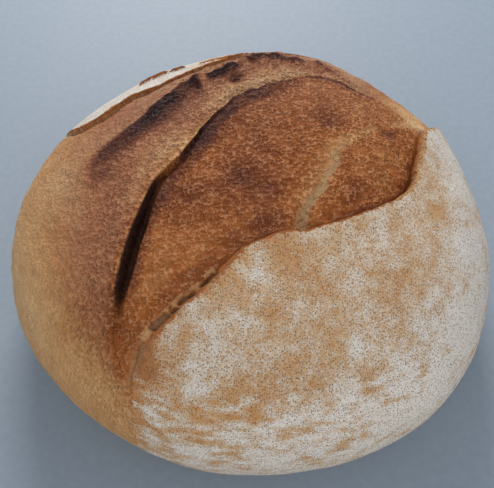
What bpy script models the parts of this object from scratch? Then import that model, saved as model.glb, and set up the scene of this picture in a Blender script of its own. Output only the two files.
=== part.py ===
"""A round sourdough loaf: one crust, scored along the top and burst open in the oven.

Units are metres, +Z is up, and the origin is the middle of the flat base.

The crust is laid out on a map: a point of the map lies as far from its middle as the crust is long from the
crown to that point, in that direction. The score lines are smooth curves drawn on the map. The loaf starts as
a cube rounded to a sphere, is spread over the plain dome, and every point is then pushed out or in by the
forms that the score lines carry: torn lips, furrows, a fold, a scorched ridge and the bulges between them.
"""

import math

import bmesh
import bpy
import numpy as np
from mathutils import Vector, noise

MM = 0.001

# The plain dome
LOAF_RADIUS = 120 * MM  # mean radius of the belly
LOAF_HEIGHT = 105 * MM  # the crown above the base
BELLY_HEIGHT = 36 * MM  # where the loaf is widest
BASE_SHARE = 0.70  # the flat base's radius, as a share of the belly's
FULLNESS = 2.2  # 2 is an ellipse, and more is a fuller shoulder
LOBE_SHARE = 0.019  # the belly is very slightly three-cornered
LOBE_TURN = math.radians(-43)

# Score lines on the crust map, in mm from the crown. What is floured lies to the right of both edges.
FRONT_EDGE = (
    (-92, -178), (-76, -152), (-64, -133), (-59, -118), (-55, -102), (-50, -90), (-45, -84), (-37, -77),
    (-27, -69), (-19, -63), (-11, -55), (-5, -49), (4, -44), (13, -40), (24, -38), (43, -30), (60, -21),
    (68, -15), (76, -6), (80, 6), (84, 17), (86, 26), (91, 37), (102, 50), (122, 70), (150, 94), (186, 116),
)
BACK_EDGE = (
    (186, 120), (150, 106), (118, 112), (86, 112), (56, 107), (30, 103), (4, 97), (-15, 84), (-36, 73),
    (-47, 65), (-52, 63), (-64, 61), (-71, 55), (-77, 48), (-84, 44), (-91, 44), (-98, 47), (-108, 58),
    (-122, 76), (-142, 100), (-165, 126),
)
FOLD = (
    (-61, -89), (-62, -81), (-61, -73), (-59, -59), (-55, -41), (-50, -26), (-43, -9), (-33, 5), (-22, 24),
    (-12, 35), (-1, 44), (13, 51), (26, 58), (39, 60), (53, 56), (65, 54), (74, 48), (86, 42),
)
RIDGE = (
    (-67, -16), (-71, -4), (-70, 8), (-58, 20), (-45, 38), (-37, 48), (-29, 54), (-12, 63), (4, 75), (13, 77),
    (28, 76), (42, 73), (54, 63),
)
SEAM = (
    (21, -36), (21, -30), (23, -25), (29, -17), (33, -10), (37, -2), (40, 7), (49, 17), (57, 24), (66, 30),
    (76, 37),
)

# Forms along the score lines: (share of the line, size in mm)
FRONT_LIP = (
    (0.17, 0), (0.22, 0.7), (0.26, 1.6), (0.32, 2.4), (0.38, 3.2), (0.5, 3.5), (0.6, 4.2), (0.7, 4.4), (0.92, 0),
)
FRONT_FURROW = (
    (0.15, 0), (0.2, 0.5), (0.26, 0.7), (0.3, 0.9), (0.36, 0.9), (0.52, 1.0), (0.6, 3.0), (0.7, 2.4), (0.93, 0),
)
FRONT_WIDTH = ((0.2, 3.5), (0.3, 4.5), (0.37, 2.0), (0.55, 2.0), (0.62, 2.6), (0.7, 2.2), (0.8, 2))
BACK_LIP = ((0.3, 0), (0.42, 1.0), (0.5, 1.4), (0.6, 1.7), (0.7, 1.8), (0.78, 0))
BACK_FURROW = ((0.3, 0), (0.42, 0.8), (0.56, 0.9), (0.6, 1.6), (0.68, 2.0), (0.74, 1.6), (0.8, 0))
FOLD_LIP = ((0, 0), (0.08, 1.6), (0.2, 3.2), (0.35, 3.4), (0.45, 2.2), (0.54, 0.6), (0.6, 0))
GAP_DEPTH = ((0, 0), (0.04, 0.6), (0.09, 3.0), (0.14, 5.0), (0.25, 5.0), (0.3, 2.6), (0.34, 1.2), (0.5, 0))
GAP_WIDTH = ((0, 0.4), (0.06, 0.8), (0.11, 2.2), (0.17, 3.6), (0.24, 3.2), (0.3, 1.8), (0.34, 1.0), (0.5, 0.4))
BROW_LIP = ((0.42, 0), (0.5, 1.6), (0.57, 3.0), (0.7, 3.4), (0.85, 3.0), (0.95, 1.4), (1.0, 0.4))
RIDGE_RISE = ((0, 0), (0.08, 2.0), (0.2, 5.0), (0.35, 6.4), (0.6, 6.0), (0.75, 5.0), (0.9, 3.2), (1.0, 0.6))
SEAM_DEPTH = ((0, 1.8), (0.15, 1.2), (0.3, 0.8), (0.5, 0.7), (0.62, 0), (1, 0))
BACK_WIDTH = 3 * MM
BROW_WIDTH = 6 * MM
RIDGE_NEAR = 6.5 * MM
RIDGE_FAR = (14 * MM, 8 * MM)  # at the ridge's lower and upper end
SEAM_WIDTH = 2.4 * MM
WALL = 1.3 * MM  # a torn wall's width on the map
BULGE_RISE = 3.4 * MM
BULGE_REACH = 20 * MM
SHELF_RISE = 1.8 * MM
SHELF_REACH = 12 * MM

# Dents in the burst crust: map x, y, radius and depth, in mm
DENTS = (
    (-6, -11, 7, 0.9),
    (8, -17, 6, 0.6),
    (35, 27, 9, 1.3),
    (65, 26, 5, 1.2),
    (46, -14, 6, 0.7),
    (-8, 57, 4, 1.6),
    (-30, -38, 8, 0.5),
)

# Unevenness: size across and height of each kind
SWELLS = ((52 * MM, 1.5 * MM), (19 * MM, 0.55 * MM))
RAGGED = ((6.5 * MM, 0.7 * MM), (2.8 * MM, 0.35 * MM))

# The mesh
CELLS = 110  # along each edge of the starting cube
TRIANGLES = 11000
LINE_STEP = 1.2 * MM
PROFILE_STEPS = 400
DOME_TURN = math.radians(118)  # the part of the starting sphere that becomes the dome
FLANK_TURN = math.radians(154)  # and the part down to the flat base
CHUNK = 6000

CRUST_COLOUR = (0.42, 0.22, 0.09, 1.0)
CRUST_ROUGHNESS = 0.85


def ease(low, high, value):
    """0 below low, 1 above high, and smooth between them."""
    share = np.clip((value - low) / (high - low), 0.0, 1.0)
    return share * share * (3.0 - 2.0 * share)


def hill(value, width):
    return np.exp(-((value / width) ** 2))


def stations(share, pairs):
    """Reads a form's size along its line."""
    at, size = zip(*pairs)
    return np.interp(share, at, size) * MM


class Profile:
    """The plain loaf from the crown over the belly to the middle of the base."""

    def __init__(self):
        turn = np.linspace(0.0, math.pi / 2, PROFILE_STEPS)
        power = 2.0 / FULLNESS
        shoulder = np.sin(turn) ** power
        shoulder_height = BELLY_HEIGHT + (LOAF_HEIGHT - BELLY_HEIGHT) * np.cos(turn).clip(0) ** power
        flank = BASE_SHARE + (1 - BASE_SHARE) * np.cos(turn[1:])
        flank_height = BELLY_HEIGHT * (1 - np.sin(turn[1:]))
        base = np.linspace(BASE_SHARE, 0.0, PROFILE_STEPS)[1:]
        self.share = np.concatenate([shoulder, flank, base])
        self.height = np.concatenate([shoulder_height, flank_height, 0 * base])
        out, up = np.diff(self.share * LOAF_RADIUS), np.diff(self.height)
        self.along = np.concatenate([[0.0], np.cumsum(np.hypot(out, up))])
        self.belly = self.along[PROFILE_STEPS - 1]
        self.foot = self.along[2 * PROFILE_STEPS - 2]
        self.end = self.along[-1]
        slope_out = np.gradient(self.share * LOAF_RADIUS, self.along)
        slope_up = np.gradient(self.height, self.along)
        length = np.hypot(slope_out, slope_up)
        self.face_out, self.face_up = -slope_up / length, slope_out / length

    def place(self, along, turn):
        """The points of the plain loaf this far along the crust from the crown, in this direction."""
        lobes = 1 + LOBE_SHARE * np.cos(3 * (turn - LOBE_TURN))
        out = np.interp(along, self.along, self.share) * LOAF_RADIUS * lobes
        height = np.interp(along, self.along, self.height)
        return np.stack([out * np.cos(turn), out * np.sin(turn), height], axis=-1)

    def outward(self, along, turn):
        out = np.interp(along, self.along, self.face_out)
        up = np.interp(along, self.along, self.face_up)
        return np.stack([out * np.cos(turn), out * np.sin(turn), up], axis=-1)


PROFILE = Profile()


class ScoreLine:
    """A smooth line on the crust, through points of the map."""

    def __init__(self, corners):
        corners = np.array(corners, float) * MM
        ends = np.vstack([2 * corners[0] - corners[1], corners, 2 * corners[-1] - corners[-2]])
        path = []
        for a, b, c, d in zip(ends, ends[1:], ends[2:], ends[3:]):
            steps = max(2, round(float(np.linalg.norm(c - b)) / LINE_STEP))
            t = np.linspace(0, 1, steps, endpoint=False)[:, None]
            path.append(
                0.5 * (2 * b + (c - a) * t + (2 * a - 5 * b + 4 * c - d) * t**2 + (3 * b - a - 3 * c + d) * t**3)
            )
        path = np.vstack([*path, corners[-1:]])
        along, turn = np.hypot(path[:, 0], path[:, 1]), np.arctan2(path[:, 1], path[:, 0])
        self.points = PROFILE.place(along, turn)
        self.ahead = np.gradient(self.points, axis=0)
        self.ahead /= np.linalg.norm(self.ahead, axis=1, keepdims=True)
        self.right = np.cross(self.ahead, PROFILE.outward(along, turn))
        steps = np.linalg.norm(np.diff(self.points, axis=0), axis=1)
        self.lengths = np.concatenate([[0.0], np.cumsum(steps)])

    def measure(self, points):
        """How far each point is to the right of the line, its share along the line, and the line's right there."""
        nearest = np.concatenate([
            ((points[i:i + CHUNK, None, :] - self.points[None]) ** 2).sum(axis=2).argmin(axis=1)
            for i in range(0, len(points), CHUNK)
        ])
        gap = points - self.points[nearest]
        right, ahead = self.right[nearest], self.ahead[nearest]
        side = (gap * right).sum(axis=1)
        far = np.linalg.norm(gap, axis=1)
        passed = (gap * ahead).sum(axis=1)
        across = np.sqrt(np.maximum(far**2 - passed**2, 0))
        distance = np.where(side < 0, -1.0, 1.0) * np.maximum(across, np.abs(side))
        share = np.clip((self.lengths[nearest] + passed) / self.lengths[-1], 0.0, 1.0)
        return distance, share, right


def unevenness(points, kinds, seed):
    """The sum of smooth noises of these sizes and heights, at each point."""
    total = np.zeros(len(points))
    for i, (size, height) in enumerate(kinds):
        shift = (seed + i) * Vector((7.1, 3.3, 1.0))
        total += height * np.array([noise.noise(Vector(p) / size + shift) for p in points])
    return total


def scarp(side, lip, furrow, width, reach=26 * MM):
    """A torn edge: a lip on the right, a wall down, and a furrow on the left that rises again."""
    above = ease(-WALL, 0.0, side)
    near = np.maximum(side, 0)
    raised = lip * (0.4 * hill(near, reach / 4) + 0.6 * hill(near, reach))
    sunk = furrow * ease(-width - 2 * MM, -width + 1.5 * MM, side)
    return above * raised - (1 - above) * sunk


def dent_depth(along, turn):
    x, y = along * np.cos(turn) / MM, along * np.sin(turn) / MM
    return sum(deep * MM * hill(np.hypot(x - at_x, y - at_y), radius) for at_x, at_y, radius, deep in DENTS)


def forms(points, along, turn):
    """How far each point of the plain loaf is pushed outward, and the sideways shift of the lips."""
    ragged = unevenness(points, RAGGED, seed=3)
    front, front_at, front_right = LINES["front"].measure(points)
    back, back_at, back_right = LINES["back"].measure(points)
    fold, fold_at, fold_right = LINES["fold"].measure(points)
    ridge, ridge_at, _ = LINES["ridge"].measure(points)
    seam, seam_at, _ = LINES["seam"].measure(points)
    front, back = front + ragged, back + 1.5 * ragged
    bloom = ease(0, 2 * MM, -front) * ease(0, 2 * MM, -back)

    front_lip = stations(front_at, FRONT_LIP)
    out = scarp(front, front_lip, stations(front_at, FRONT_FURROW), stations(front_at, FRONT_WIDTH))
    back_lip = stations(back_at, BACK_LIP)
    out += scarp(back, back_lip, stations(back_at, BACK_FURROW), BACK_WIDTH, reach=16 * MM)

    fold_lip = stations(fold_at, FOLD_LIP)
    gap_width = stations(fold_at, GAP_WIDTH) + 1.5 * MM
    out += bloom * scarp(-fold, fold_lip, stations(fold_at, GAP_DEPTH), gap_width, reach=20 * MM)
    brow = stations(fold_at, BROW_LIP)
    out += bloom * scarp(fold + 0.6 * ragged, brow, 0.4 * brow, BROW_WIDTH, reach=14 * MM)

    crest = stations(ridge_at, RIDGE_RISE)
    far_side = RIDGE_FAR[0] + (RIDGE_FAR[1] - RIDGE_FAR[0]) * ease(0.4, 0.7, ridge_at)
    flank = np.where(ridge > 0, np.exp(-ridge / RIDGE_NEAR), hill(ridge, far_side))
    out += bloom * crest * flank

    middle = np.minimum(fold, -front)
    out += bloom * BULGE_RISE * (1 - hill(np.maximum(middle, 0), BULGE_REACH))
    out -= bloom * stations(seam_at, SEAM_DEPTH) * hill(seam + ragged, SEAM_WIDTH)
    shelf = np.minimum(seam, -front)
    out += bloom * SHELF_RISE * (1 - hill(np.maximum(shelf, 0), SHELF_REACH))
    out -= bloom * dent_depth(along, turn)

    overhang = (
        -(front_lip * 0.35 * hill(front - 1 * MM, 3 * MM) * (front > -WALL))[:, None] * front_right
        - (back_lip * 0.3 * hill(back - 1 * MM, 3 * MM) * (back > -WALL))[:, None] * back_right
        + (bloom * fold_lip * 0.4 * hill(fold + 1 * MM, 3 * MM) * (fold < WALL))[:, None] * fold_right
    )
    return out + unevenness(points, SWELLS, seed=1), overhang


def rounded_cube(name):
    """A cube cut into even cells and blown up to a sphere of radius 1."""
    shape = bmesh.new()
    bmesh.ops.create_cube(shape, size=2)
    bmesh.ops.subdivide_edges(shape, edges=shape.edges, cuts=CELLS - 1, use_grid_fill=True)
    for vertex in shape.verts:
        # Even angles, and not even lengths, keep the cells alike near the cube's corners.
        vertex.co = Vector(math.tan(x * math.pi / 4) for x in vertex.co).normalized()
    mesh = bpy.data.meshes.new(name)
    shape.to_mesh(mesh)
    shape.free()
    return mesh


def bake_loaf(mesh):
    """Spreads the sphere over the plain loaf and gives it its forms."""
    round_points = np.empty(len(mesh.vertices) * 3, np.float32)
    mesh.vertices.foreach_get("co", round_points)
    round_points = round_points.reshape(-1, 3).astype(float)
    down = np.arccos(np.clip(round_points[:, 2], -1, 1))
    turn = np.arctan2(round_points[:, 1], round_points[:, 0])
    along = np.interp(
        down, [0, DOME_TURN, FLANK_TURN, math.pi], [0, PROFILE.belly, PROFILE.foot, PROFILE.end]
    )
    points, outward = PROFILE.place(along, turn), PROFILE.outward(along, turn)
    out, sideways = forms(points, along, turn)
    crusty = ease(PROFILE.foot - 4 * MM, PROFILE.foot - 30 * MM, along)[:, None]
    points += crusty * (out[:, None] * outward + sideways)
    points[:, 2] = np.where(along >= PROFILE.foot, 0.0, np.maximum(points[:, 2], 0.0))
    mesh.vertices.foreach_set("co", points.astype(np.float32).ravel())
    mesh.update()


def crust_material():
    material = bpy.data.materials.new("crust")
    material.use_nodes = True
    shader = material.node_tree.nodes["Principled BSDF"]
    shader.inputs["Base Color"].default_value = CRUST_COLOUR
    shader.inputs["Roughness"].default_value = CRUST_ROUGHNESS
    shader.inputs["Metallic"].default_value = 0.0
    return material


def build_loaf():
    mesh = rounded_cube("loaf")
    bake_loaf(mesh)
    loaf = bpy.data.objects.new("loaf", mesh)
    mesh.materials.append(crust_material())
    mesh.shade_smooth()
    collection = bpy.data.collections.new("sourdough_loaf")
    bpy.context.scene.collection.children.link(collection)
    collection.objects.link(loaf)
    fewer = loaf.modifiers.new("fewer_faces", "DECIMATE")
    fewer.ratio = TRIANGLES / (12 * CELLS**2)
    fewer.use_collapse_triangulate = True
    return loaf


def clear_scene():
    for thing in list(bpy.data.objects):
        bpy.data.objects.remove(thing, do_unlink=True)


clear_scene()
LINES = {
    "front": ScoreLine(FRONT_EDGE),
    "back": ScoreLine(BACK_EDGE),
    "fold": ScoreLine(FOLD),
    "ridge": ScoreLine(RIDGE),
    "seam": ScoreLine(SEAM),
}
build_loaf()
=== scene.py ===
"""A round sourdough loaf, scored along the top and burst open in the oven, on a pale table.

The crust is laid out on a map, in mm: a point of the map lies as far from its middle as the crust is long
from the crown to that point, in that direction. The score lines are smooth curves on the map. A cube rounded
to a sphere is spread over the plain dome, drawn together along the score lines, and pushed out or in by the
forms that the lines carry: torn lips, furrows, a fold, a scorched ridge, bulges, dents and the pebbles of the
crust. The same distances say how brown, burnt, raw or floured each point is, and the materials read that.
"""

import math

import bpy
import numpy as np
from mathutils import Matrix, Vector, noise


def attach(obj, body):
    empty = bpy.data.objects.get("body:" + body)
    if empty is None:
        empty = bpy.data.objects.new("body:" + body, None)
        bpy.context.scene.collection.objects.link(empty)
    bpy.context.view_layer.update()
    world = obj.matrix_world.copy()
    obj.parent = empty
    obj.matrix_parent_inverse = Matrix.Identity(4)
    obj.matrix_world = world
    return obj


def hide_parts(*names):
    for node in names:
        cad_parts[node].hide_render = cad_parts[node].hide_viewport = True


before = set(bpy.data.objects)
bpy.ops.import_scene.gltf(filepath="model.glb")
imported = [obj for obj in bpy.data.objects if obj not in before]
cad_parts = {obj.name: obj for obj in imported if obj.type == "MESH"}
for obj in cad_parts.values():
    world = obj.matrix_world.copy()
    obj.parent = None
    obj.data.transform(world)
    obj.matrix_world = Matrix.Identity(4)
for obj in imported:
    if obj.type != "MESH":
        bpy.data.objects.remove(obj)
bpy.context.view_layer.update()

MM = 0.001

# The plain dome, as in the solid
LOAF_RADIUS = 120 * MM
LOAF_HEIGHT = 105 * MM
BELLY_HEIGHT = 36 * MM
BASE_SHARE = 0.70
FULLNESS = 2.2
LOBE_SHARE = 0.019
LOBE_TURN = math.radians(-43)

# Score lines on the crust map, in mm from the crown
FRONT_EDGE = (
    (-92, -178), (-76, -152), (-64, -133), (-59, -118), (-55, -102), (-50, -90), (-45, -84), (-37, -77),
    (-27, -69), (-19, -63), (-11, -55), (-5, -49), (4, -44), (13, -40), (24, -38), (43, -30), (60, -21),
    (68, -15), (76, -6), (80, 6), (84, 17), (86, 26), (91, 37), (102, 50), (122, 70), (150, 94), (186, 116),
)
BACK_EDGE = (
    (186, 120), (150, 106), (118, 112), (86, 112), (56, 107), (30, 103), (4, 97), (-15, 84), (-36, 73),
    (-47, 65), (-52, 63), (-64, 61), (-71, 55), (-77, 48), (-84, 44), (-91, 44), (-98, 47), (-108, 58),
    (-122, 76), (-142, 100), (-165, 126),
)
FOLD = (
    (-61, -89), (-62, -81), (-61, -73), (-59, -59), (-55, -41), (-50, -26), (-43, -9), (-33, 5), (-22, 24),
    (-12, 35), (-1, 44), (13, 51), (26, 58), (39, 60), (53, 56), (65, 54), (74, 48), (86, 42),
)
RIDGE = (
    (-67, -16), (-71, -4), (-70, 8), (-58, 20), (-45, 38), (-37, 48), (-29, 54), (-12, 63), (4, 75), (13, 77),
    (28, 76), (42, 73), (54, 63),
)
SEAM = (
    (21, -36), (21, -30), (23, -25), (29, -17), (33, -10), (37, -2), (40, 7), (49, 17), (57, 24), (66, 30),
    (76, 37),
)
FLAKE = (
    (-69, 74), (-61, 77), (-55, 80), (-47, 82), (-40, 82), (-28, 83), (-14, 86), (0, 92),
)

# Forms along the lines: (share of the line, size in mm)
FRONT_LIP = (
    (0.17, 0), (0.22, 0.7), (0.26, 1.6), (0.32, 2.4), (0.38, 3.2), (0.5, 3.5), (0.6, 4.2), (0.7, 4.4),
    (0.92, 0),
)
FRONT_FURROW = (
    (0.15, 0), (0.2, 0.5), (0.26, 0.7), (0.3, 0.9), (0.36, 0.9), (0.52, 1.0), (0.6, 2.4), (0.7, 1.8),
    (0.93, 0),
)
FRONT_WIDTH = ((0.2, 3.5), (0.3, 4.5), (0.37, 2.0), (0.55, 2.0), (0.62, 2.6), (0.7, 2.2), (0.8, 2))
FRONT_WALL = ((0.2, 1.4), (0.3, 1.2), (0.36, 0.8), (0.55, 0.8), (0.6, 1.1), (0.7, 1.1), (0.8, 1.1))
BACK_LIP = ((0.3, 0), (0.42, 1.0), (0.5, 1.4), (0.6, 1.7), (0.7, 1.8), (0.78, 0))
BACK_FURROW = ((0.3, 0), (0.42, 0.8), (0.56, 0.9), (0.6, 1.6), (0.68, 2.0), (0.74, 1.6), (0.8, 0))
FOLD_LIP = ((0, 0), (0.08, 1.6), (0.2, 3.2), (0.35, 3.4), (0.45, 2.2), (0.54, 0.6), (0.6, 0))
GAP_DEPTH = ((0, 0), (0.04, 0.6), (0.09, 3.0), (0.14, 5.0), (0.25, 5.0), (0.3, 2.6), (0.34, 1.2), (0.5, 0))
GAP_WIDTH = (
    (0, 0.4), (0.06, 0.8), (0.11, 2.2), (0.17, 3.6), (0.24, 3.2), (0.3, 1.8), (0.34, 1.0), (0.5, 0.4),
)
BROW_LIP = ((0.42, 0), (0.5, 1.6), (0.57, 3.0), (0.7, 3.4), (0.85, 3.0), (0.95, 1.4), (1.0, 0.4))
RIDGE_RISE = ((0, 0), (0.08, 2.0), (0.2, 5.0), (0.35, 6.4), (0.6, 6.0), (0.75, 5.0), (0.9, 3.2), (1.0, 0.6))
SEAM_DEPTH = ((0, 1.8), (0.15, 1.2), (0.3, 0.8), (0.5, 0.7), (0.62, 0), (1, 0))

# How wide the walls, the furrows and the seam's cleft are
WALL = 1.1 * MM
FOLD_WALL = 0.7 * MM
BACK_WIDTH = 3 * MM
BROW_WIDTH = 6 * MM
SEAM_WIDTH = 2.4 * MM
# How far behind its edge a lip reaches before it levels off
FRONT_REACH = 26 * MM
BACK_REACH = 16 * MM
FOLD_REACH = 20 * MM
BROW_REACH = 14 * MM
# How far a lip leans out over its furrow, as a share of its height, and where behind the edge it does so
FRONT_LEAN = 0.35
BACK_LEAN = 0.3
FOLD_LEAN = 0.4
LEAN_PLACE = 1 * MM
LEAN_WIDTH = 3 * MM
# How ragged the torn edges are, as shares of the unevenness RAGGED
ROUGHNESS = {"front": 1.0, "back": 1.5, "fold": 0.0, "flake": 1.0}
BROW_ROUGHNESS = 0.6

# Holes in the crumb of the front furrow: (where they start and end along the front edge, width in mm)
HOLES = ((0.262, 0.282, 3.2), (0.287, 0.292, 1.8), (0.299, 0.314, 2.4), (0.327, 0.344, 2.4))
HOLE_DEPTH = 2.2 * MM
HOLE_SLANT = 0.0025 / (4 * MM)  # a hole's shift along the edge, as a share of it, for its way across
# Flakes of crust on the far side: (where they start and end along the flake line, width and rise in mm)
FLAKES = ((0.12, 0.30, 2.0, 1.8), (0.37, 0.44, 1.5, 1.6), (0.60, 0.95, 1.8, 0.9))

# Scorched parts of the ridge: (where they start and end along it, how far they reach in mm, how dark)
SCORCHES = ((0.10, 0.48, 15, 0.62), (0.53, 0.61, 4.5, 0.42), (0.66, 0.82, 4.5, 0.28), (0.87, 0.95, 4, 0.20))

# The crust sags a little beyond the bloom's upper right end: map x, y and radius
SAG_SPOT = (74, 74, 26)
SAG_DEPTH = 4.5 * MM
# The bloom bulges right of the fold, and again, as a shelf, right of the seam
BULGE_RISE = 3.4 * MM
BULGE_REACH = 20 * MM
SHELF_RISE = 1.8 * MM
SHELF_REACH = 12 * MM

# Dents in the bloom: map x, y, radius, depth, and how much browner they are
DENTS = (
    (-6, -11, 7, 0.9, 0.16),
    (8, -17, 6, 0.6, 0.08),
    (35, 27, 9, 1.3, 0.14),
    (65, 26, 5, 1.2, 0.22),
    (46, -14, 6, 0.7, 0.1),
    (-8, 57, 4, 1.6, 0.3),
    (-30, -38, 8, 0.5, 0.05),
)

# Patches of the bloom: map x, y, radius, and how much browner
BROWN_PATCHES = (
    (-75, -72, 20, 0.05), (-20, -45, 16, -0.04), (89, 45, 10, -0.26), (90, 66, 20, -0.24),
    (-91, 5, 18, -0.16), (-60, -12, 17, 0.18), (-66, -64, 24, 0.07), (-66, -36, 14, 0.07),
    (-45, -62, 10, -0.06), (-12, 22, 15, 0.12), (-30, -20, 12, 0.12), (5, -28, 12, 0.07), (10, 0, 32, 0.05),
    (-30, 28, 11, 0.22), (-66, 40, 12, 0.10),
)
# Strips beside the lines: the line, from and to across it and softness in mm, from and to along it and
# softness as shares of it, and how much browner. Some add painted shade, and one a painted highlight, as
# marked
BROWN_SHADE_AND_HIGHLIGHT_STRIPS = (
    # browner, and in part painted shade from the front lip beside it
    ("front", -9, -2, 5, 0.30, 0.42, 0.04, 0.10),
    # painted shade in the furrow under the front edge's rim
    ("front", -3, -0.8, 3, 0.50, 0.62, 0.05, 0.10),
    ("fold", 1, 7, 5, 0.13, 0.46, 0.05, 0.16),
    ("fold", -8, -1, 5, 0.30, 0.72, 0.08, -0.15),
    # painted highlight along the fold's lip
    ("fold", -1.6, -0.2, 1, 0.14, 0.84, 0.05, -0.16),
    ("brow", 0.1, 1.4, 0.8, 0.42, 0.86, 0.05, 0.20),
    ("ridge", 0, 6, 4, 0.52, 0.86, 0.05, 0.19),
)

# Patches of flour, and then patches with less of it: map x, y, radius, and how much more
FLOUR_PATCHES = (
    (2, -57, 5, 0.6), (57, -39, 5, 0.6), (45, -85, 5, 0.5), (45, -71, 9, 0.3), (73, -72, 9, 0.3),
    (70, -92, 8, 0.3), (38, -115, 10, 0.35), (11, -121, 8, 0.3), (-1, -130, 9, 0.35), (-14, -90, 12, 0.35),
    (3, -91, 8, 0.25), (-26, -106, 8, 0.3), (-53, -132, 7, 0.4), (98, -30, 10, 0.4), (90, 32, 12, 0.4),
    (-38, -84, 4, 0.5), (66, -104, 14, 0.3), (98, -32, 12, 0.5), (76, -14, 9, 0.5), (48, -60, 10, 0.2),
    (100, -68, 14, 0.6), (108, 8, 14, 0.9), (104, 34, 12, 0.8), (92, -98, 12, 0.8), (106, -62, 12, 0.8),
    (80, -112, 10, 0.6), (66, -124, 10, 0.6), (112, -30, 14, 0.8), (78, -96, 9, 0.4),
    (-40, -110, 5, -0.6), (-46, -94, 9, -1.0), (-53, -108, 7, -0.7), (-62, -118, 6, -0.5),
    (57, -60, 10, -0.55), (70, -52, 8, -0.5), (28, -66, 6, -0.5), (10, -77, 6, -0.45), (23, -55, 5, -0.4),
    (17, -96, 7, -0.45), (4, -108, 9, -0.4), (-14, -109, 7, -0.4), (30, -78, 5, -0.4), (34, -88, 5, -0.35),
    (-36, -125, 12, -0.5), (-7, -114, 10, -0.7), (20, -52, 8, -0.35), (-34, -102, 6, -0.4),
    (58, -104, 12, -0.5), (-30, -118, 12, -0.4), (0, -122, 14, -0.4), (13, -50, 7, -0.5),
    (-29, -86, 5, -0.5), (80, -20, 8, -0.5), (50, -98, 8, -0.4), (-20, -124, 9, -0.5), (6, -126, 9, -0.4),
    (-12, -66, 5, -0.3), (30, -104, 7, -0.4), (64, -38, 7, -0.3), (-6, -69, 6, -0.3), (80, -12, 9, -0.5),
    (88, -19, 7, -0.5), (74, -3, 5, -0.4), (10, -45, 8, -0.25), (-10, -62, 6, -0.4), (35, -128, 8, -0.35),
    (79, -90, 7, -0.3), (20, -75, 40, -0.12),
)

# Unevenness: (size across, height)
SWELLS = ((52 * MM, 1.5 * MM), (19 * MM, 0.55 * MM))
RAGGED = ((6.5 * MM, 0.7 * MM), (2.8 * MM, 0.35 * MM))
PEBBLES = ((6.0 * MM, 0.9 * MM), (2.9 * MM, 0.42 * MM))
# The same for the looks: (size across, how much browner or more floured)
BROWN_CLOUDS = ((24 * MM, 0.05), (9 * MM, 0.03))
FLOUR_STREAKS = ((7 * MM, 1.2), (3 * MM, 1.4))
FLOUR_CLOUDS = ((15 * MM, 0.2), (6 * MM, 0.7))
STREAK_RADIUS = 45 * MM

# The mesh
CELLS = 200  # along each edge of the starting cube
LINE_STEP = 1.0 * MM
PROFILE_STEPS = 400
DOME_TURN = math.radians(126)
FLANK_TURN = math.radians(158)
GATHER = 1.0 * MM  # how near a line its points are drawn onto it
CHUNK = 20000  # points that are measured at a time
PLAIN_FOOT = 4 * MM  # the crust is plain this far up from the foot
FULL_RELIEF = 30 * MM  # and the forms have their full size from here up
BASE_RIM = 6 * MM  # this much of the crust above the foot goes with the base piece
PIECE_EDGE = 0.5 * MM  # this much of the wall under a torn edge goes with the floured piece

TABLE_SIZE = 6  # metres

# The light: size, power, place and colour of each lamp
LAMPS = {
    "window": (0.5, 16.5, (-0.1, 1.1, 0.8), (1.0, 0.98, 0.96)),
    "fill": (1.4, 11.5, (-0.06, -1.15, 0.8), (1.0, 0.97, 0.92)),
    "side": (0.8, 3.5, (1.3, -0.3, 0.5), (1.0, 0.98, 0.95)),
}
LAMP_AIM = Vector((0, 0, 0.05))
SKY_COLOUR = (0.80, 0.88, 1.0, 1)
SKY_STRENGTH = 0.50

# The view
CAMERA_AIM = Vector((-2.7, 2.2, 36)) * MM
CAMERA_DISTANCE = 430 * MM
CAMERA_ELEVATION = math.radians(55)
FOCAL_PIXELS = 825
FRAME_PIXELS = 494
SENSOR = 36


def ease(low, high, value):
    """0 at low, 1 at high, and smooth between them."""
    share = np.clip((value - low) / (high - low), 0.0, 1.0)
    return share * share * (3.0 - 2.0 * share)


def hill(value, width):
    """1 at 0, falling off on both sides."""
    return np.exp(-((value / width) ** 2))


def band(value, low, high, soft):
    """1 from low to high, fading over soft on both sides."""
    return ease(low - soft, low, value) * ease(high + soft, high, value)


def stations(share, pairs):
    """Reads a form's size along its line."""
    at, size = zip(*pairs)
    return np.interp(share, at, size)


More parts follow.
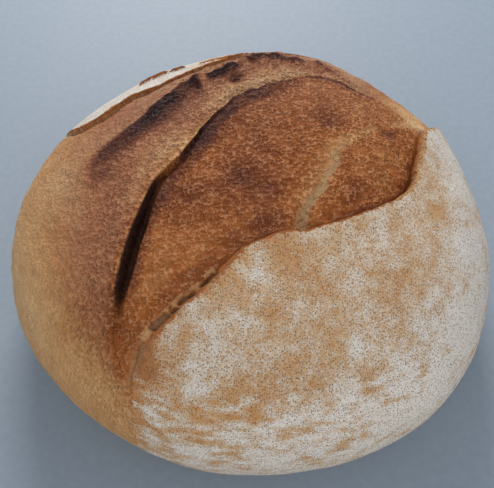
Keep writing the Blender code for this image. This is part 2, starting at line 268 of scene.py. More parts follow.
class Profile:
    """The plain loaf from the crown over the belly to the middle of the base."""

    def __init__(self):
        turn = np.linspace(0.0, math.pi / 2, PROFILE_STEPS)
        power = 2.0 / FULLNESS
        shoulder = np.sin(turn) ** power
        shoulder_height = BELLY_HEIGHT + (LOAF_HEIGHT - BELLY_HEIGHT) * np.cos(turn).clip(0) ** power
        flank = BASE_SHARE + (1 - BASE_SHARE) * np.cos(turn[1:])
        flank_height = BELLY_HEIGHT * (1 - np.sin(turn[1:]))
        base = np.linspace(BASE_SHARE, 0.0, PROFILE_STEPS)[1:]
        self.share = np.concatenate([shoulder, flank, base])
        self.height = np.concatenate([shoulder_height, flank_height, 0 * base])
        out, up = np.diff(self.share * LOAF_RADIUS), np.diff(self.height)
        self.along = np.concatenate([[0.0], np.cumsum(np.hypot(out, up))])
        self.belly = self.along[PROFILE_STEPS - 1]
        self.foot = self.along[2 * PROFILE_STEPS - 2]
        self.end = self.along[-1]
        slope_out = np.gradient(self.share * LOAF_RADIUS, self.along)
        slope_up = np.gradient(self.height, self.along)
        length = np.hypot(slope_out, slope_up)
        self.face_out, self.face_up = -slope_up / length, slope_out / length

    def place(self, along, turn):
        """The points of the plain loaf this far along the crust from the crown, in this direction."""
        lobes = 1 + LOBE_SHARE * np.cos(3 * (turn - LOBE_TURN))
        out = np.interp(along, self.along, self.share) * LOAF_RADIUS * lobes
        height = np.interp(along, self.along, self.height)
        return np.stack([out * np.cos(turn), out * np.sin(turn), height], axis=-1)

    def outward(self, along, turn):
        """The direction straight out of the plain loaf at these places."""
        out = np.interp(along, self.along, self.face_out)
        up = np.interp(along, self.along, self.face_up)
        return np.stack([out * np.cos(turn), out * np.sin(turn), up], axis=-1)


PROFILE = Profile()


class ScoreLine:
    """A smooth line on the crust, through points of the map."""

    def __init__(self, corners):
        corners = np.array(corners, float) * MM
        ends = np.vstack([2 * corners[0] - corners[1], corners, 2 * corners[-1] - corners[-2]])
        path = []
        for a, b, c, d in zip(ends, ends[1:], ends[2:], ends[3:]):
            steps = max(2, round(float(np.linalg.norm(c - b)) / LINE_STEP))
            t = np.linspace(0, 1, steps, endpoint=False)[:, None]
            bend, twist = 2 * a - 5 * b + 4 * c - d, 3 * b - a - 3 * c + d
            path.append(0.5 * (2 * b + (c - a) * t + bend * t**2 + twist * t**3))
        path = np.vstack([*path, corners[-1:]])
        along, turn = np.hypot(path[:, 0], path[:, 1]), np.arctan2(path[:, 1], path[:, 0])
        self.points = PROFILE.place(along, turn)
        self.ahead = np.gradient(self.points, axis=0)
        self.ahead /= np.linalg.norm(self.ahead, axis=1, keepdims=True)
        self.right = np.cross(self.ahead, PROFILE.outward(along, turn))
        steps = np.linalg.norm(np.diff(self.points, axis=0), axis=1)
        self.lengths = np.concatenate([[0.0], np.cumsum(steps)])

    def nearest(self, points):
        """Which of the line's own points is nearest to each of these."""
        squares = (self.points**2).sum(axis=1)
        return np.concatenate([
            (squares - 2 * points[i:i + CHUNK] @ self.points.T).argmin(axis=1)
            for i in range(0, len(points), CHUNK)
        ])

    def measure(self, points):
        """How far each point is to the right of the line, its share along it, and the line's right there."""
        near = self.nearest(points)
        gap = points - self.points[near]
        right, ahead = self.right[near], self.ahead[near]
        side = (gap * right).sum(axis=1)
        passed = (gap * ahead).sum(axis=1)
        across = np.sqrt(np.maximum((gap**2).sum(axis=1) - passed**2, 0))
        distance = np.where(side < 0, -1.0, 1.0) * np.maximum(across, np.abs(side))
        share = np.clip((self.lengths[near] + passed) / self.lengths[-1], 0.0, 1.0)
        return distance, share, right


LINES = {
    "front": ScoreLine(FRONT_EDGE),
    "back": ScoreLine(BACK_EDGE),
    "fold": ScoreLine(FOLD),
    "ridge": ScoreLine(RIDGE),
    "seam": ScoreLine(SEAM),
    "flake": ScoreLine(FLAKE),
}


def smooth_noise(points, size, seed):
    """Smooth noise of this size across, around 0."""
    shift = Vector((seed * 7.1, seed * 3.3, seed))
    return np.array([noise.noise(Vector(p) / size + shift) for p in points])


def unevenness(points, kinds, seed):
    """The sum of smooth noises of these sizes and heights."""
    return sum(height * smooth_noise(points, size, seed + i) for i, (size, height) in enumerate(kinds))


def cube_lattice(cells):
    """The points and square faces of a cube's six sides, in cells, with shared edges joined."""
    a, b = (grid.ravel() for grid in np.meshgrid(np.arange(cells), np.arange(cells), indexing="ij"))
    squares = []
    for axis in range(3):
        for side in (0, cells):
            turned = ((0, 0), (1, 0), (1, 1), (0, 1)) if side else ((0, 0), (0, 1), (1, 1), (1, 0))
            square = np.empty((len(a), 4, 3), int)
            for k, (da, db) in enumerate(turned):
                square[:, k, axis] = side
                square[:, k, (axis + 1) % 3] = a + da
                square[:, k, (axis + 2) % 3] = b + db
            squares.append(square)
    squares = np.concatenate(squares)
    keys = (squares[..., 0] * (cells + 1) + squares[..., 1]) * (cells + 1) + squares[..., 2]
    _, first, joined = np.unique(keys, return_index=True, return_inverse=True)
    return squares.reshape(-1, 3)[first], joined.reshape(-1, 4)


def plain_loaf():
    """The sphere spread over the plain loaf: how far along the crust, in which direction, and the faces."""
    lattice, faces = cube_lattice(CELLS)
    cube = np.tan((2.0 * lattice / CELLS - 1.0) * math.pi / 4)
    sphere = cube / np.linalg.norm(cube, axis=1, keepdims=True)
    down = np.arccos(np.clip(sphere[:, 2], -1, 1))
    turn = np.arctan2(sphere[:, 1], sphere[:, 0])
    stops = [0, DOME_TURN, FLANK_TURN, math.pi]
    along = np.interp(down, stops, [0, PROFILE.belly, PROFILE.foot, PROFILE.end])
    return along, turn, faces


def gather(points, ragged):
    """Draws the points near each score line onto it, so that its edge is crisp."""
    for name, roughness in ROUGHNESS.items():
        distance, _, right = LINES[name].measure(points)
        distance = distance + roughness * ragged
        points = points - (distance * hill(distance, GATHER))[:, None] * right
    return points


def scarp(side, lip, furrow, width, wall, reach):
    """A torn edge: a lip on the right, a wall down, and a furrow on the left that rises again."""
    above = ease(-wall, 0.0, side)
    near = np.maximum(side, 0)
    raised = lip * (0.4 * hill(near, reach / 4) + 0.6 * hill(near, reach))
    sunk = furrow * ease(-width - 2 * MM, -width + 1.5 * MM, side)
    return above * raised - (1 - above) * sunk


def lean(side, lip, share, wall):
    """How far the lip of a torn edge leans out over its furrow."""
    return share * lip * hill(side - LEAN_PLACE, LEAN_WIDTH) * (side > -wall)


def bulge(inside, rise, reach):
    """A swelling that rises from its edge and is level further in."""
    return rise * (1 - hill(np.maximum(inside, 0), reach))


class Crust:
    """Everything that is measured on the points of the plain loaf."""

    def __init__(self, points, along, turn):
        self.points, self.along, self.turn = points, along, turn
        self.map = np.stack([along * np.cos(turn), along * np.sin(turn)], axis=1) / MM
        self.ragged = unevenness(points, RAGGED, seed=3)
        for name, line in LINES.items():
            distance, share, right = line.measure(points)
            setattr(self, name, distance + ROUGHNESS.get(name, 0.0) * self.ragged)
            setattr(self, name + "_at", share)
            setattr(self, name + "_right", right)
        self.brow = self.fold + BROW_ROUGHNESS * self.ragged
        self.brow_at = self.fold_at
        self.bloom = ease(0, 2 * MM, -self.front) * ease(0, 2 * MM, -self.back)

    def noise(self, size, seed):
        return smooth_noise(self.points, size, seed)

    def spot(self, x, y, radius):
        """1 at this place of the map, falling off around it."""
        return hill(np.hypot(self.map[:, 0] - x, self.map[:, 1] - y), radius)

    def strip(self, line, near, far, soft, start, end, fade):
        """1 beside a line, from near to far across it in mm and from start to end along it as shares."""
        across = band(getattr(self, line), near * MM, far * MM, soft * MM)
        return across * band(getattr(self, line + "_at"), start, end, fade)


# Forms


def dent_depth(crust):
    return sum(depth * MM * crust.spot(x, y, radius) for x, y, radius, depth, _ in DENTS)


def seam_strip(crust):
    """1 on the stretched strip of the seam, which is wider and narrower by turns."""
    width = (1.5 + 1.6 * crust.noise(7 * MM, 41)) * MM
    across = crust.seam + crust.ragged
    right = ease(width + 0.6 * MM, width - 0.8 * MM, across)
    return right * ease(-width - 2.4 * MM, -width + 1.4 * MM, across) * ease(0.64, 0.44, crust.seam_at)


def pebbled(crust):
    """How strongly the crust is pebbled: most on the middle, not where it is torn, stretched or burnt."""
    torn_wall = band(crust.front, -3 * MM, 0, 1 * MM) * ease(0.2, 0.25, crust.front_at)
    gap = crust.strip("fold", 0, 4, 1, 0.13, 0.3, 0.06)
    left = ease(0, -30 * MM, crust.fold)
    outer = ease(80 * MM, 130 * MM, crust.along)
    smooth = 0.3 * crust.spot(84, 54, 20)
    stretched = 0.5 * seam_strip(crust)
    return np.clip(1.0 - 0.2 * left - 0.4 * outer - stretched - torn_wall - gap - smooth, 0, 1)


def holes(crust):
    """1 in the holes between the threads of crumb, along the front furrow's lower end."""
    total = np.zeros(len(crust.points))
    slanted = crust.front_at - HOLE_SLANT * crust.front
    for start, end, width in HOLES:
        total += band(slanted, start, end, 0.003) * band(crust.front, -width * MM, -0.4 * MM, 1.2 * MM)
    return total


def flakes(crust):
    """How far the ragged flakes of bare crust behind the floured sliver stand up, in mm."""
    total = np.zeros(len(crust.points))
    bitten = 1 + 0.9 * crust.noise(4 * MM, 43)
    for start, end, width, rise in FLAKES:
        across = band(crust.flake, -width * bitten * MM, 0, 0.6 * MM)
        total += rise * band(crust.flake_at, start, end, 0.05) * across
    return total


def front_edge(crust):
    """The lip and the furrow of the front edge, and how far the lip leans."""
    lip = stations(crust.front_at, FRONT_LIP) * MM
    furrow = stations(crust.front_at, FRONT_FURROW) * MM
    wall = stations(crust.front_at, FRONT_WALL) * MM
    width = stations(crust.front_at, FRONT_WIDTH) * MM
    out = scarp(crust.front, lip, furrow, width, wall, FRONT_REACH) - HOLE_DEPTH * holes(crust)
    return out, -lean(crust.front, lip, FRONT_LEAN, WALL)[:, None] * crust.front_right


def back_edge(crust):
    """The lip and the furrow of the back edge, and how far the lip leans."""
    lip = stations(crust.back_at, BACK_LIP) * MM
    furrow = stations(crust.back_at, BACK_FURROW) * MM
    out = scarp(crust.back, lip, furrow, BACK_WIDTH, WALL, BACK_REACH)
    return out, -lean(crust.back, lip, BACK_LEAN, WALL)[:, None] * crust.back_right


def fold_edge(crust):
    """The fold's lip over its gap, with the brow beyond it, and how far the lip leans."""
    lip = stations(crust.fold_at, FOLD_LIP) * MM
    gap = stations(crust.fold_at, GAP_DEPTH) * MM
    gap_width = stations(crust.fold_at, GAP_WIDTH) * MM + 1.5 * MM
    brow = stations(crust.brow_at, BROW_LIP) * MM
    out = scarp(-crust.fold, lip, gap, gap_width, FOLD_WALL, FOLD_REACH)
    out += scarp(crust.brow, brow, 0.4 * brow, BROW_WIDTH, WALL, BROW_REACH)
    leaning = lean(-crust.fold, lip, FOLD_LEAN, FOLD_WALL / 2)
    return crust.bloom * out, (crust.bloom * leaning)[:, None] * crust.fold_right


def ridge_height(crust):
    """The ridge: steep on its right, broad on its left, and jagged along the crest."""
    crest = stations(crust.ridge_at, RIDGE_RISE) * MM
    jagged = 1 + 0.5 * crust.noise(5 * MM, 11) * ease(0.3, 0.6, crust.ridge_at)
    left = hill(crust.ridge, 14 * MM - 6 * MM * ease(0.4, 0.7, crust.ridge_at))
    right = np.exp(-crust.ridge / (6.5 * MM))
    return crest * jagged * np.where(crust.ridge > 0, right, left)


def relief(crust):
    """How far each point is pushed outward, and the sideways shift of the lips."""
    front, front_lean = front_edge(crust)
    back, back_lean = back_edge(crust)
    fold, fold_lean = fold_edge(crust)
    cleft = stations(crust.seam_at, SEAM_DEPTH) * MM
    burst = ridge_height(crust) - cleft * hill(crust.seam + crust.ragged, SEAM_WIDTH) - dent_depth(crust)
    burst += bulge(np.minimum(crust.fold, -crust.front), BULGE_RISE, BULGE_REACH)
    burst += bulge(np.minimum(crust.seam, -crust.front), SHELF_RISE, SHELF_REACH)
    burst += pebbled(crust) * unevenness(crust.points, PEBBLES, seed=21)
    out = front + back + fold + crust.bloom * burst + flakes(crust) * MM
    out += unevenness(crust.points, SWELLS, seed=1) - SAG_DEPTH * crust.spot(*SAG_SPOT)
    return out, front_lean + back_lean + fold_lean


# Looks: what the materials read at each point


def brow_brown(crust):
    """How much browner the scorched brow is, and the paler valley left of it."""
    scorch = band(crust.brow_at, 0.46, 0.82, 0.1) * (1 + 0.5 * crust.noise(14 * MM, 33))
    scorch *= 0.13 + 0.06 * ease(0.74, 0.64, crust.brow_at)
    deep = (1.2 + 2.6 * band(crust.brow_at, 0.46, 0.70, 0.06)) * MM
    scorch *= band(crust.brow + crust.ragged, 0, deep, 5 * MM) * (crust.brow > -0.5 * MM)
    top = 0.14 * crust.spot(5, 43, 9) * (crust.brow > 0)
    valley = 0.20 * crust.strip("brow", -1, 0, 5, 0.52, 0.80, 0.12) * (crust.brow < 0)
    return scorch + top - valley


def ridge_brown(crust):
    """How much browner the ridge is: scorched along its crest in parts, and fading down its right side."""
    across = crust.ridge + 1.4 * crust.ragged
    lower = ease(0.3, 0.1, crust.ridge_at)
    scorch = ease(-1 * MM - 8 * MM * lower, 0, across) * (0.95 + 0.3 * crust.noise(9 * MM, 34))
    scorch *= (1 - 0.5 * lower) * (0.66 + 0.34 * ease(7 * MM, 1 * MM, across))
    total = 0.05 * (crust.ridge < 0) * band(crust.ridge_at, 0.12, 0.95, 0.08)
    for start, end, reach, dark in SCORCHES:
        right = ease(reach * MM, 0.2 * reach * MM, across)
        soft = 0.02 + 0.06 * (start < 0.2) * (crust.ridge_at < 0.3)
        total += dark * scorch * right * band(crust.ridge_at, start, end, soft)
    return total


def seam_gold(crust):
    """How much paler the crust is along the seam's upper end and left of the seam."""
    top_line = hill(crust.seam + crust.ragged, 2.6 * MM) * ease(0.45, 0.62, crust.seam_at)
    gold = hill(crust.seam, 9 * MM) * ease(0.8, 0.4, crust.seam_at) * (crust.seam < 0)
    return 0.16 * top_line + 0.14 * gold


def under_flour(crust):
    """How brown the floured crust is below its flour."""
    brown = 0.40 + 0.10 * crust.noise(26 * MM, 35) + 0.06 * bare_back(crust) + 0.20 * crust.spot(-48, -96, 14)
    rim = ease(4 * MM, 1 * MM, crust.front) * band(crust.front_at, 0.24, 0.42, 0.03)
    return brown + 0.14 * rim


def browning(crust):
    """0 is pale, 0.5 well browned and 1 burnt; a few strips add painted shade and a painted highlight."""
    x, y = crust.map.T
    left = ease(2 * MM, -10 * MM, crust.fold) * ease(72, 52, x)
    outer = ease(86 * MM, 132 * MM, crust.along)
    brown = 0.51 + unevenness(crust.points, BROWN_CLOUDS, seed=31)
    brown -= 0.10 * left + (0.22 - 0.12 * ease(-50, -105, y)) * outer * left
    brown -= 0.10 * ease(42 * MM, 10 * MM, crust.points[:, 2])
    for dent_x, dent_y, radius, _, browner in DENTS:
        brown += browner * crust.spot(dent_x, dent_y, radius)
    for *patch, browner in BROWN_PATCHES:
        brown += browner * crust.spot(*patch)
    for *strip, browner in BROWN_SHADE_AND_HIGHLIGHT_STRIPS:
        brown += browner * crust.strip(*strip)
    brown += brow_brown(crust) + ridge_brown(crust) - seam_gold(crust)
    floured = (crust.front > 0) | (crust.back > 0)
    return np.clip(np.where(floured, under_flour(crust), brown), 0, 1)


def painted_sheen_share(crust):
    """How much a painted sheen dulls the brown crust to pinkish: most on the ridge, the flanks beside it, and
    towards the back.
    """
    inner = ease(80, 50, crust.map[:, 0])
    near_ridge = ease(45 * MM, 12 * MM, np.abs(crust.ridge)) * ease(0, -6 * MM, crust.fold)
    top = ease(10 * MM, 60 * MM, crust.points[:, 1])
    return np.clip((0.5 * near_ridge + 0.3 * top) * inner, 0, 0.6)


def open_pits(crust):
    """How far the pits of the crust are open: wide on the middle, and mere dots on the left flank."""
    left = 0.75 * ease(-8 * MM, -34 * MM, crust.fold) * ease(50 * MM, 95 * MM, crust.along)
    left *= ease(72, 52, crust.map[:, 0])
    low = 0.6 * ease(-18, -45, crust.map[:, 1]) * (crust.fold > 0)
    return 1 - left - low


def bare_back(crust):
    """1 where the far side has no flour: behind the ridge, right of the floured sliver."""
    near_top = ease(114 * MM, 98 * MM, crust.along)
    return near_top * (crust.back > 0) * ease(-36, -30, crust.map[:, 0] + 6 * crust.noise(6 * MM, 45))


def flour(crust):
    """How much flour lies on the floured crust: patches, and streaks that run around the loaf."""
    outer = ease(92 * MM, 130 * MM, crust.along)
    cover = 0.20 + 0.74 * outer - 0.5 * outer * ease(0, -60, crust.map[:, 0])
    cover += (crust.back > 0) * (0.3 + 0.8 * ease(122 * MM, 104 * MM, crust.along))
    for *patch, more in FLOUR_PATCHES:
        cover += more * crust.spot(*patch)
    around = crust.turn * STREAK_RADIUS
    drawn_out = np.stack([around, crust.along, 0 * around], axis=1)
    cover += outer * unevenness(drawn_out, FLOUR_STREAKS, seed=51)
    cover += unevenness(crust.points, FLOUR_CLOUDS, seed=53)
    lower_start = band(crust.front, 0, 2 * MM, 5 * MM) * ease(0.27, 0.24, crust.front_at)
    rim = crust.strip("front", 0, 2.5, 3, 0.24, 0.42, 0.03)
    return cover - 0.9 * lower_start - 0.4 * rim - bare_back(crust)


def burnt(crust):
    """1 in the burnt gap under the fold's lip."""
    width = stations(crust.fold_at, GAP_WIDTH) * MM
    return band(crust.fold, -0.2 * MM, width, 1.2 * MM) * band(crust.fold_at, 0.11, 0.32, 0.05)


def raw(crust):
    """1 where stretched crumb shows pale and greyish: the seam and the strip below the front edge."""
    width = (2.6 + 1.6 * crust.noise(6 * MM, 44)) * MM
    strip = band(crust.front, -width, -0.6 * MM, 1.4 * MM) * band(crust.front_at, 0.205, 0.245, 0.02)
    tip = crust.spot(89, 41, 5)
    return np.clip(seam_strip(crust) + 0.75 * strip + 0.6 * tip, 0, 1) * crust.bloom


def threads(crust):
    """1 on the pale threads of crumb around the holes."""
    near = crust.strip("front", -4.2, -0.5, 1, 0.247, 0.346, 0.002)
    return near * np.clip(1 - 1.3 * holes(crust), 0, 1) * ease(-0.35, 0.1, crust.noise(3 * MM, 46))


def painted_hollow_shade(crust):
    """1 where shade is painted into the holes of torn crumb: in the furrow's lower end and under the back
    edge.
    """
    recess = crust.strip("back", -2.8, -0.6, 0.6, 0.48, 0.75, 0.02)
    bitten = ease(-0.15, 0.15, crust.noise(3.5 * MM, 47))
    return np.clip(holes(crust) + recess * bitten, 0, 1)


def crisp(crust):
    """1 where the torn edge is thin, dry and pale: the front edge's upper end."""
    return ease(0.5, 0.6, crust.front_at) * (crust.front > crust.back)


def torn(crust):
    """1 on the bare crumb of the torn edges and flakes, falling to 0 on the crust beside it."""
    low = band(crust.front_at, 0.26, 0.37, 0.03)
    reach = (1.8 + 1.6 * low + 1.0 * crisp(crust)) * MM
    seen = ease(0.23, 0.26, crust.front_at) * ease(0.78, 0.72, crust.front_at)
    front = np.clip(1 - crust.front / reach, 0, 1) * seen
    back = np.clip(1 - crust.back / (2.6 * MM), 0, 1)
    return np.clip(np.where(crust.front > crust.back, front, back) + flakes(crust), 0, 1)


FIELDS = {
    "brown": browning,
    "pebbled": pebbled,
    "painted_sheen": painted_sheen_share,
    "open": open_pits,
    "raw": raw,
    "hollow_shade": painted_hollow_shade,
    "burnt": burnt,
    "threads": threads,
    "flour": flour,
    "torn": torn,
    "crisp": crisp,
}


# The mesh


def crust_normals(points, faces):
    """Smooth normals of the whole loaf, so that its pieces join without a line."""
    across = points[faces[:, 2]] - points[faces[:, 0]]
    over = points[faces[:, 3]] - points[faces[:, 1]]
    face_normals = np.cross(across, over)
    normals = np.zeros_like(points)
    for k in range(4):
        np.add.at(normals, faces[:, k], face_normals)
    return normals / np.maximum(np.linalg.norm(normals, axis=1, keepdims=True), 1e-12)


def cut_piece(name, points, faces, normals, fields, material):
    """One piece of the loaf's skin, from these faces."""
    used, numbered = np.unique(faces, return_inverse=True)
    mesh = bpy.data.meshes.new(name)
    mesh.from_pydata(points[used].tolist(), [], numbered.reshape(-1, 4).tolist())
    mesh.shade_smooth()
    mesh.normals_split_custom_set_from_vertices(normals[used].tolist())
    for field, values in fields.items():
        attribute = mesh.attributes.new(field, "FLOAT", "POINT")
        attribute.data.foreach_set("value", values[used].astype(np.float32))
    mesh.materials.append(material)
    piece = bpy.data.objects.new(name, mesh)
    bpy.context.scene.collection.objects.link(piece)
    return piece


# Materials


class Nodes:
    """Short calls for the nodes that the materials share."""

    def __init__(self, name):
        self.material = bpy.data.materials.new(name)
        self.material.use_nodes = True
        self.tree = self.material.node_tree
        self.shader = self.tree.nodes["Principled BSDF"]
        self.place = self.tree.nodes.new("ShaderNodeTexCoord").outputs["Object"]

    def join(self, value, socket):
        if isinstance(value, bpy.types.NodeSocket):
            self.tree.links.new(value, socket)
        else:
            socket.default_value = value

    def field(self, name):
        node = self.tree.nodes.new("ShaderNodeAttribute")
        node.attribute_name = name
        return node.outputs["Fac"]

    def math(self, operation, a, b=0.0):
        node = self.tree.nodes.new("ShaderNodeMath")
        node.operation = operation
        self.join(a, node.inputs[0])
        self.join(b, node.inputs[1])
        return node.outputs[0]

    def add(self, a, b):
        return self.math("ADD", a, b)

    def times(self, a, b):
        return self.math("MULTIPLY", a, b)

    def change(self, grain, amount):
        """A grain, which lies around 0.5, as a change up and down by this much."""
        return self.times(self.add(grain, -0.5), amount)

    def soft_step(self, value, low, high, to_low=0.0, to_high=1.0):
        node = self.tree.nodes.new("ShaderNodeMapRange")
        node.interpolation_type = "SMOOTHSTEP"
        self.join(value, node.inputs["Value"])
        for key, amount in (("From Min", low), ("From Max", high), ("To Min", to_low), ("To Max", to_high)):
            node.inputs[key].default_value = amount
        return node.outputs["Result"]

    def grain(self, size, detail=2.0, roughness=0.5):
        """Smooth noise of this size across, around 0.5."""
        scaled = self.tree.nodes.new("ShaderNodeMapping")
        scaled.vector_type = "POINT"
        self.join(self.place, scaled.inputs["Vector"])
        scaled.inputs["Scale"].default_value = (1 / size, 1 / size, 1 / size)
        node = self.tree.nodes.new("ShaderNodeTexNoise")
        self.join(scaled.outputs["Vector"], node.inputs["Vector"])
        node.inputs["Scale"].default_value = 1.0
        node.inputs["Detail"].default_value = detail
        node.inputs["Roughness"].default_value = roughness
        return node.outputs["Fac"]

    def crust_map(self):
        """The place on the crust map, in metres."""
        node = self.tree.nodes.new("ShaderNodeCombineXYZ")
        self.join(self.field("map_x"), node.inputs[0])
        self.join(self.field("map_y"), node.inputs[1])
        return node.outputs[0]

    def bent(self, place, size, amount):
        """The place drawn aside by smooth noise."""
        node = self.tree.nodes.new("ShaderNodeTexNoise")
        self.join(place, node.inputs["Vector"])
        node.inputs["Scale"].default_value = 1 / size
        node.inputs["Detail"].default_value = 1.0
        centred = self.tree.nodes.new("ShaderNodeVectorMath")
        centred.operation = "SUBTRACT"
        self.join(node.outputs["Color"], centred.inputs[0])
        centred.inputs[1].default_value = (0.5, 0.5, 0.5)
        moved = self.tree.nodes.new("ShaderNodeVectorMath")
        moved.operation = "MULTIPLY_ADD"
        self.join(centred.outputs[0], moved.inputs[0])
        moved.inputs[1].default_value = (amount, amount, amount)
        self.join(place, moved.inputs[2])
        return moved.outputs[0]

    def cells(self, place, size):
        """Cells on the crust map: how far the cell's middle is, and a number of the cell's own."""
        node = self.tree.nodes.new("ShaderNodeTexVoronoi")
        node.voronoi_dimensions = "2D"
        self.join(place, node.inputs["Vector"])
        node.inputs["Scale"].default_value = 1 / size
        number = self.tree.nodes.new("ShaderNodeSeparateColor")
        self.join(node.outputs["Color"], number.inputs["Color"])
        return node.outputs["Distance"], number.outputs["Red"]

    def pits(self, place, size, widest, narrowest):
        """1 on the floor of round pits of different widths, given as shares of the cells."""
        middle, number = self.cells(place, size)
        reach = self.add(self.times(number, widest - narrowest), narrowest)
        return self.soft_step(self.math("DIVIDE", middle, reach), 1.0, 0.2)

    def ramp(self, value, stops):
        node = self.tree.nodes.new("ShaderNodeValToRGB")
        self.join(value, node.inputs["Fac"])
        elements = node.color_ramp.elements
        while len(elements) < len(stops):
            elements.new(1.0)
        for element, (at, colour) in zip(elements, stops):
            element.position = at
            element.color = (*colour, 1.0)
        return node.outputs["Color"]

    def mix(self, share, a, b, blend="MIX"):
        node = self.tree.nodes.new("ShaderNodeMix")
        node.data_type = "RGBA"
        node.blend_type = blend
        self.join(share, node.inputs[0])
        for value, socket in ((a, node.inputs[6]), (b, node.inputs[7])):
            self.join(value if isinstance(value, bpy.types.NodeSocket) else (*value, 1.0), socket)
        return node.outputs[2]

    def bump(self, height, depth):
        node = self.tree.nodes.new("ShaderNodeBump")
        node.inputs["Strength"].default_value = 1.0
        node.inputs["Distance"].default_value = depth
        self.join(height, node.inputs["Height"])
        return node.outputs["Normal"]

    def finish(self, colour, roughness, normal, specular):
        self.join(colour, self.shader.inputs["Base Color"])
        self.join(roughness, self.shader.inputs["Roughness"])
        self.join(normal, self.shader.inputs["Normal"])
        self.join(specular, self.shader.inputs["Specular IOR Level"])
        return self.material


# Crust colours from pale to burnt, linear
BAKED = (
    (0.00, (0.74, 0.52, 0.27)),
    (0.20, (0.60, 0.37, 0.17)),
    (0.36, (0.47, 0.235, 0.085)),
    (0.52, (0.35, 0.112, 0.024)),
    (0.66, (0.20, 0.056, 0.015)),
    (0.80, (0.105, 0.034, 0.019)),
    (0.92, (0.052, 0.017, 0.013)),
    (1.00, (0.026, 0.010, 0.009)),
)
# Painted sheen: the dull pinkish tint that the window's grazing reflection gives the crust
SHEEN_TINT = (0.30, 0.17, 0.12)
# Painted highlight on the lit rims of the pits, and painted shade on the pit floors
RIM_HIGHLIGHT = (0.54, 0.31, 0.18)
PIT_SHADE = (0.60, 0.42, 0.32)
RAW_CRUMB = (0.32, 0.205, 0.10)
# Painted shade: crumb darkened as it looks deep in holes and under the back edge's lip
SHADED_HOLE_CRUMB = (0.19, 0.085, 0.035)
HOLLOW_RIM = (0.34, 0.20, 0.11)
THREAD_CRUMB = (0.55, 0.30, 0.13)
BURNT_CRUMB = (0.03, 0.011, 0.007)
BURNT_RIM = (0.06, 0.02, 0.01)
TAN_CRUST = (0.42, 0.235, 0.105)
THIN_FLOUR = (0.50, 0.375, 0.245)
FLOUR = (0.63, 0.60, 0.55)
PEPPER = (0.27, 0.16, 0.08)
PORE = (0.13, 0.055, 0.02)
TORN_CRUMB = (0.30, 0.10, 0.028)
TORN_SHADE = (0.17, 0.07, 0.025)
DRY_CRUMB = (0.44, 0.25, 0.11)
DRY_SHADE = (0.18, 0.08, 0.03)
TABLE_DARK = (0.205, 0.25, 0.30)
TABLE_LIGHT = (0.225, 0.27, 0.32)


def pit_pattern(n):
    """1 on the floors of the crust's pits: wide ones where the crust is open, and small ones all over."""
    place = n.bent(n.bent(n.crust_map(), 4.0 * MM, 1.8 * MM), 1.4 * MM, 0.6 * MM)
    wide = n.times(n.pits(place, 1.95 * MM, 0.95, 0.3), n.add(n.times(n.field("open"), 0.6), 0.4))
    small = n.times(n.pits(place, 1.2 * MM, 0.8, 0.1), 0.5)
    uneven = n.soft_step(n.grain(5 * MM, 2), 0.3, 0.6, 0.5, 1.0)
    return n.times(n.math("MAXIMUM", wide, small), uneven)


def baked_colour(n, pits, pebbled, fine):
    """The crust from pale to burnt: painted shade in its pits, a painted highlight on their rims, and a
    painted sheen in parts.
    """
    tone = n.add(n.field("brown"), n.change(n.grain(7 * MM, 3), 0.12))
    tone = n.add(tone, n.change(fine, 0.08))
    # Painted highlight: the rims of the pits, lit by the window, are mixed towards a lighter colour
    rims = n.times(n.soft_step(pits, 0.35, 0.0), n.soft_step(fine, 0.35, 0.6))
    rims = n.times(rims, n.soft_step(tone, 0.78, 0.58, 0.15, 1.0))
    colour = n.mix(n.times(n.times(rims, pebbled), 0.3), n.ramp(tone, BAKED), RIM_HIGHLIGHT)
    # Painted shade: the floors of the pits are darkened by multiplying the colour
    colour = n.mix(n.times(pits, 0.9), colour, PIT_SHADE, "MULTIPLY")
    # Painted sheen: the crust is mixed towards a dull pinkish tint, as a grazing reflection of the window
    # would show
    dull = n.mix(0.6, colour, SHEEN_TINT)
    return n.mix(n.times(n.field("painted_sheen"), n.soft_step(tone, 0.85, 0.5)), colour, dull)


def crumb_colours(n, colour, lumps, fine):
    """The crust's colour, with the stretched crumb, the threads, painted shade in the holes and the burnt gap
    on it.
    """
    # Painted shade: the stretched crumb is darker in its low spots, where the lumps are low
    pale = n.mix(n.soft_step(n.add(lumps, fine), 0.75, 1.1), SHADED_HOLE_CRUMB, RAW_CRUMB)
    deep = n.mix(lumps, SHADED_HOLE_CRUMB, HOLLOW_RIM)
    scorched = n.mix(n.soft_step(lumps, 0.45, 0.75), BURNT_CRUMB, BURNT_RIM)
    colour = n.mix(n.times(n.field("raw"), 0.85), colour, pale)
    colour = n.mix(n.times(n.field("threads"), 0.7), colour, THREAD_CRUMB)
    # Painted shade in the holes of the front furrow and in the recess under the back edge
    colour = n.mix(n.times(n.field("hollow_shade"), 0.9), colour, deep)
    return n.mix(n.field("burnt"), colour, scorched)


def bloom_material():
    """The unfloured crust: pitted and browned, with pale stretched crumb and a burnt gap."""
    n = Nodes("bloom_crust")
    fine, lumps = n.grain(0.9 * MM, 3, 0.65), n.grain(2.2 * MM, 3, 0.6)
    not_raw = n.add(n.times(n.field("raw"), -0.8), 1.0)
    pebbled = n.times(n.add(n.times(n.field("pebbled"), 0.85), 0.15), not_raw)
    pits = n.times(pit_pattern(n), pebbled)
    colour = crumb_colours(n, baked_colour(n, pits, pebbled, fine), lumps, fine)
    height = n.add(n.add(n.times(pits, -0.9), lumps), n.times(fine, 0.15))
    return n.finish(colour, roughness=0.55, normal=n.bump(height, 1.3 * MM), specular=0.12)


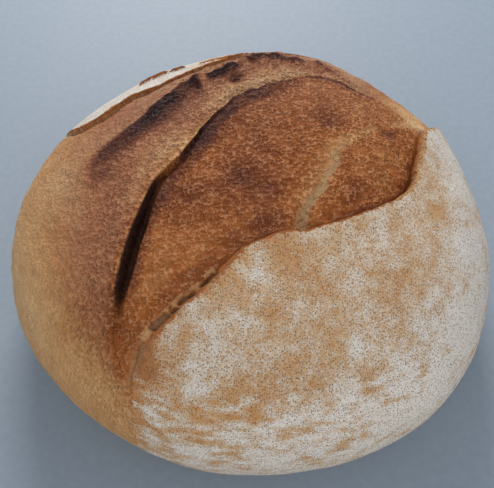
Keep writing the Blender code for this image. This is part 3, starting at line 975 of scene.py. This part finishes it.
def floured_colour(n, clumps):
    """Tan crust under patchy flour, which lies in clumps and is peppered with dark specks."""
    tone = n.add(n.field("brown"), n.change(clumps, 0.3))
    tone = n.add(tone, n.change(n.grain(3 * MM, 4, 0.7), 0.5))
    crust = n.mix(0.3, n.ramp(tone, BAKED), TAN_CRUST)
    cover = n.add(n.field("flour"), n.change(n.grain(2.4 * MM, 4, 0.7), 2.4))
    cover = n.add(cover, n.change(clumps, 4.6))
    colour = n.mix(n.soft_step(cover, -1.2, 0.4, 0.0, 0.85), crust, THIN_FLOUR)
    colour = n.mix(n.soft_step(cover, -0.2, 1.3, 0.0, 0.92), colour, FLOUR)
    return n.mix(n.soft_step(n.grain(0.55 * MM, 2, 0.7), 0.46, 0.72, 0.0, 0.62), colour, PEPPER)


def torn_colour(n, colour):
    """The crust's colour, with the bare crumb of the torn edges on it."""
    shreds = n.grain(1.8 * MM, 3)
    bare = n.soft_step(n.add(n.field("torn"), n.change(shreds, 1.7)), 0.42, 0.62)
    moist = n.mix(n.soft_step(shreds, 0.35, 0.6), TORN_SHADE, TORN_CRUMB)
    dry = n.mix(n.soft_step(n.grain(1.3 * MM, 3, 0.7), 0.38, 0.55), DRY_SHADE, DRY_CRUMB)
    return n.mix(bare, colour, n.mix(n.field("crisp"), moist, dry))


def floured_material():
    """The floured crust: tan under patchy flour with dark pores, and bare torn crumb at its edge."""
    n = Nodes("floured_crust")
    clumps = n.grain(0.7 * MM, 3, 0.7)
    middle, number = n.cells(n.bent(n.crust_map(), 2.0 * MM, 0.8 * MM), 1.05 * MM)
    pores = n.times(n.soft_step(middle, 0.45, 0.10), n.soft_step(number, 0.0, 1.1))
    colour = n.mix(n.times(pores, 0.85), floured_colour(n, clumps), PORE)
    height = n.add(clumps, n.times(pores, -0.8))
    return n.finish(torn_colour(n, colour), roughness=0.9, normal=n.bump(height, 0.2 * MM), specular=0.15)


def table_material():
    n = Nodes("pale_table")
    speck = n.grain(4 * MM, 2)
    colour = n.ramp(speck, ((0.3, TABLE_DARK), (0.7, TABLE_LIGHT)))
    return n.finish(colour, roughness=0.6, normal=n.bump(speck, 0.02 * MM), specular=0.5)


# The scene


def loaf_skin():
    """The finished loaf's points and square faces, and what is measured on them."""
    along, turn, faces = plain_loaf()
    points = PROFILE.place(along, turn)
    points = gather(points, unevenness(points, RAGGED, seed=3))
    crust = Crust(points, along, turn)
    out, sideways = relief(crust)
    share = ease(PROFILE.foot - PLAIN_FOOT, PROFILE.foot - FULL_RELIEF, along)[:, None]
    moved = points + share * (out[:, None] * PROFILE.outward(along, turn) + sideways)
    moved[:, 2] = np.where(along >= PROFILE.foot, 0.0, np.maximum(moved[:, 2], 0.0))
    return moved, faces, crust


def zones(crust, faces):
    """The pieces: their names, faces and materials."""
    front, back, fold, along = (
        values[faces].mean(axis=1) for values in (crust.front, crust.back, crust.fold, crust.along)
    )
    base = along > PROFILE.foot - BASE_RIM
    floured_front = (front > -PIECE_EDGE) & ~base
    floured_back = (back > -PIECE_EDGE) & ~base & ~floured_front
    bloom = ~(floured_front | floured_back | base)
    floured, browned = floured_material(), bloom_material()
    return (
        ("crust_front", floured_front, floured),
        ("crust_back", floured_back, floured),
        ("bloom", bloom & (fold > 0), browned),
        ("flank", bloom & ~(fold > 0), browned),
        ("base", base, floured),
    )


def build_loaf():
    points, faces, crust = loaf_skin()
    normals = crust_normals(points, faces)
    fields = {name: values(crust) for name, values in FIELDS.items()}
    fields["map_x"], fields["map_y"] = crust.map.T * MM
    for name, chosen, material in zones(crust, faces):
        piece = cut_piece("loaf_" + name, points, faces[chosen], normals, fields, material)
        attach(piece, "root")
        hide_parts("loaf")


def build_table():
    bpy.ops.mesh.primitive_plane_add(size=TABLE_SIZE, location=(0, 0, 0))
    table = bpy.context.object
    table.name = "table"
    table.data.materials.append(table_material())


def build_lamp(name, size, power, place, colour):
    light = bpy.data.lights.new(name, "AREA")
    light.size = size
    light.energy = power
    light.color = colour
    lamp = bpy.data.objects.new(name, light)
    lamp.location = place
    lamp.rotation_euler = (LAMP_AIM - Vector(place)).to_track_quat("-Z", "Y").to_euler()
    bpy.context.scene.collection.objects.link(lamp)


def build_lights():
    world = bpy.data.worlds.new("studio")
    world.use_nodes = True
    sky = world.node_tree.nodes["Background"]
    sky.inputs["Color"].default_value = SKY_COLOUR
    sky.inputs["Strength"].default_value = SKY_STRENGTH
    bpy.context.scene.world = world
    for name, lamp in LAMPS.items():
        build_lamp(name, *lamp)


def build_camera():
    view = bpy.data.cameras.new("view")
    view.sensor_width = SENSOR
    view.lens = FOCAL_PIXELS * SENSOR / FRAME_PIXELS
    camera = bpy.data.objects.new("view", view)
    back = Vector((0, -math.cos(CAMERA_ELEVATION), math.sin(CAMERA_ELEVATION)))
    camera.location = CAMERA_AIM + back * CAMERA_DISTANCE
    camera.rotation_euler = (math.pi / 2 - CAMERA_ELEVATION, 0, 0)
    view.clip_start = 0.01
    bpy.context.scene.collection.objects.link(camera)
    bpy.context.scene.camera = camera


build_camera()
build_loaf()
build_table()
build_lights()
bpy.context.scene.view_settings.view_transform = "Standard"
